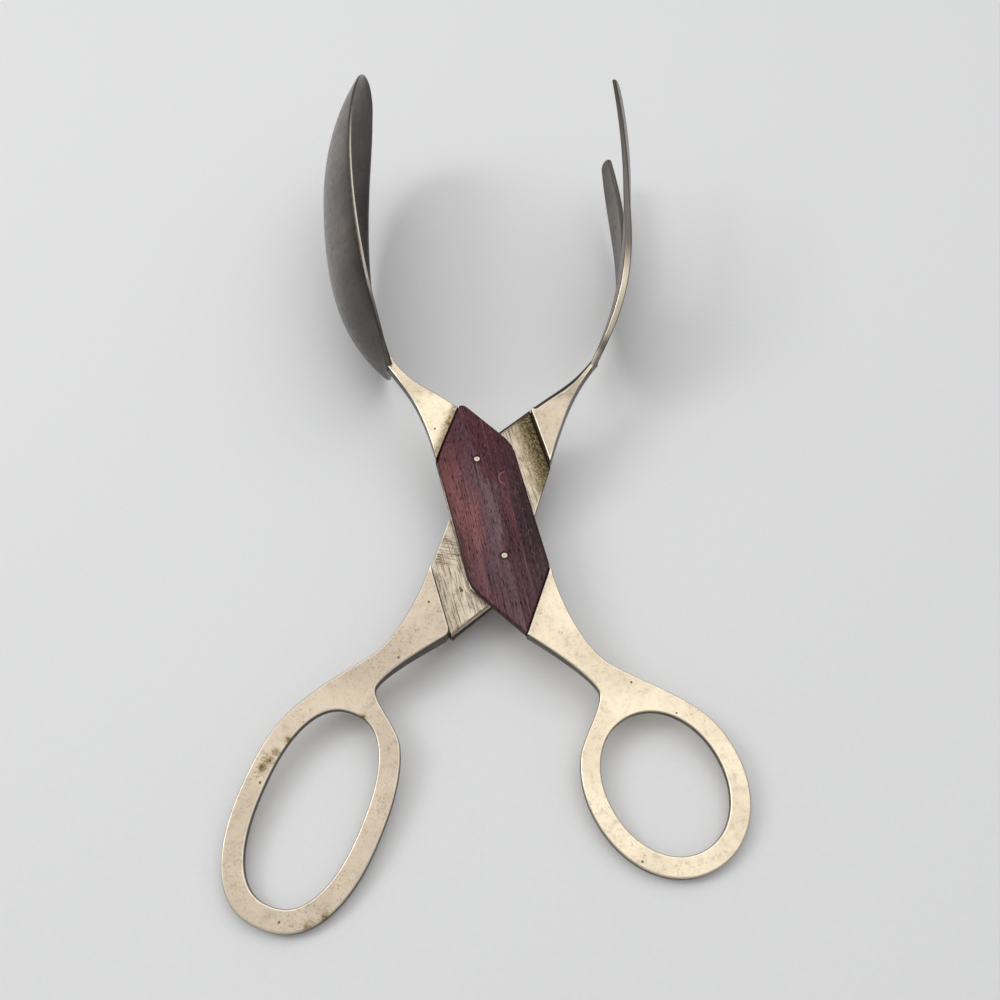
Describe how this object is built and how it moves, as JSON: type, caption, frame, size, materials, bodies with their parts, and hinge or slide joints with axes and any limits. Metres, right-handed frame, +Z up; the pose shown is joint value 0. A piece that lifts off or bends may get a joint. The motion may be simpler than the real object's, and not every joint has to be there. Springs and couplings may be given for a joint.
{
  "type": "salad tongs",
  "caption": "Scissor-style salad tongs in bronze with a spoon and a fork jaw, finger loops and rosewood scales over the pivot.",
  "frame": {"origin": "middle of the footprint, on the table", "axes": "+Y from the finger loops to the jaws, +Z up from the table, +X to the fork's side"},
  "size_m": [0.123, 0.263, 0.0509],
  "materials": {
    "spoon_bronze": "satin, lightly tarnished",
    "fork_bronze": "satin, lightly tarnished",
    "rosewood_upper": "oiled, open pores",
    "rosewood_lower": "oiled, open pores",
    "pin_brass": "filed flush, satin",
    "rivet_bronze": "plain"
  },
  "bodies": {
    "fork_side": {"fork_arm": "fork_bronze", "lower_scale": "rosewood_lower", "lower_pin_jaw": "pin_brass", "lower_pin_loop": "pin_brass", "pivot_rivet": "rivet_bronze"},
    "spoon_side": {"spoon_arm": "spoon_bronze", "upper_scale": "rosewood_upper", "upper_pin_jaw": "pin_brass", "upper_pin_loop": "pin_brass"}
  },
  "joints": [
    {"name": "tongs_pivot", "type": "hinge", "parent": "fork_side", "child": "spoon_side", "pos_m": [-0.00118, -0.02742, 0.01294], "axis": [0.0178, -0.119, 0.9927], "range_deg": [-30, 88]}
  ]
}
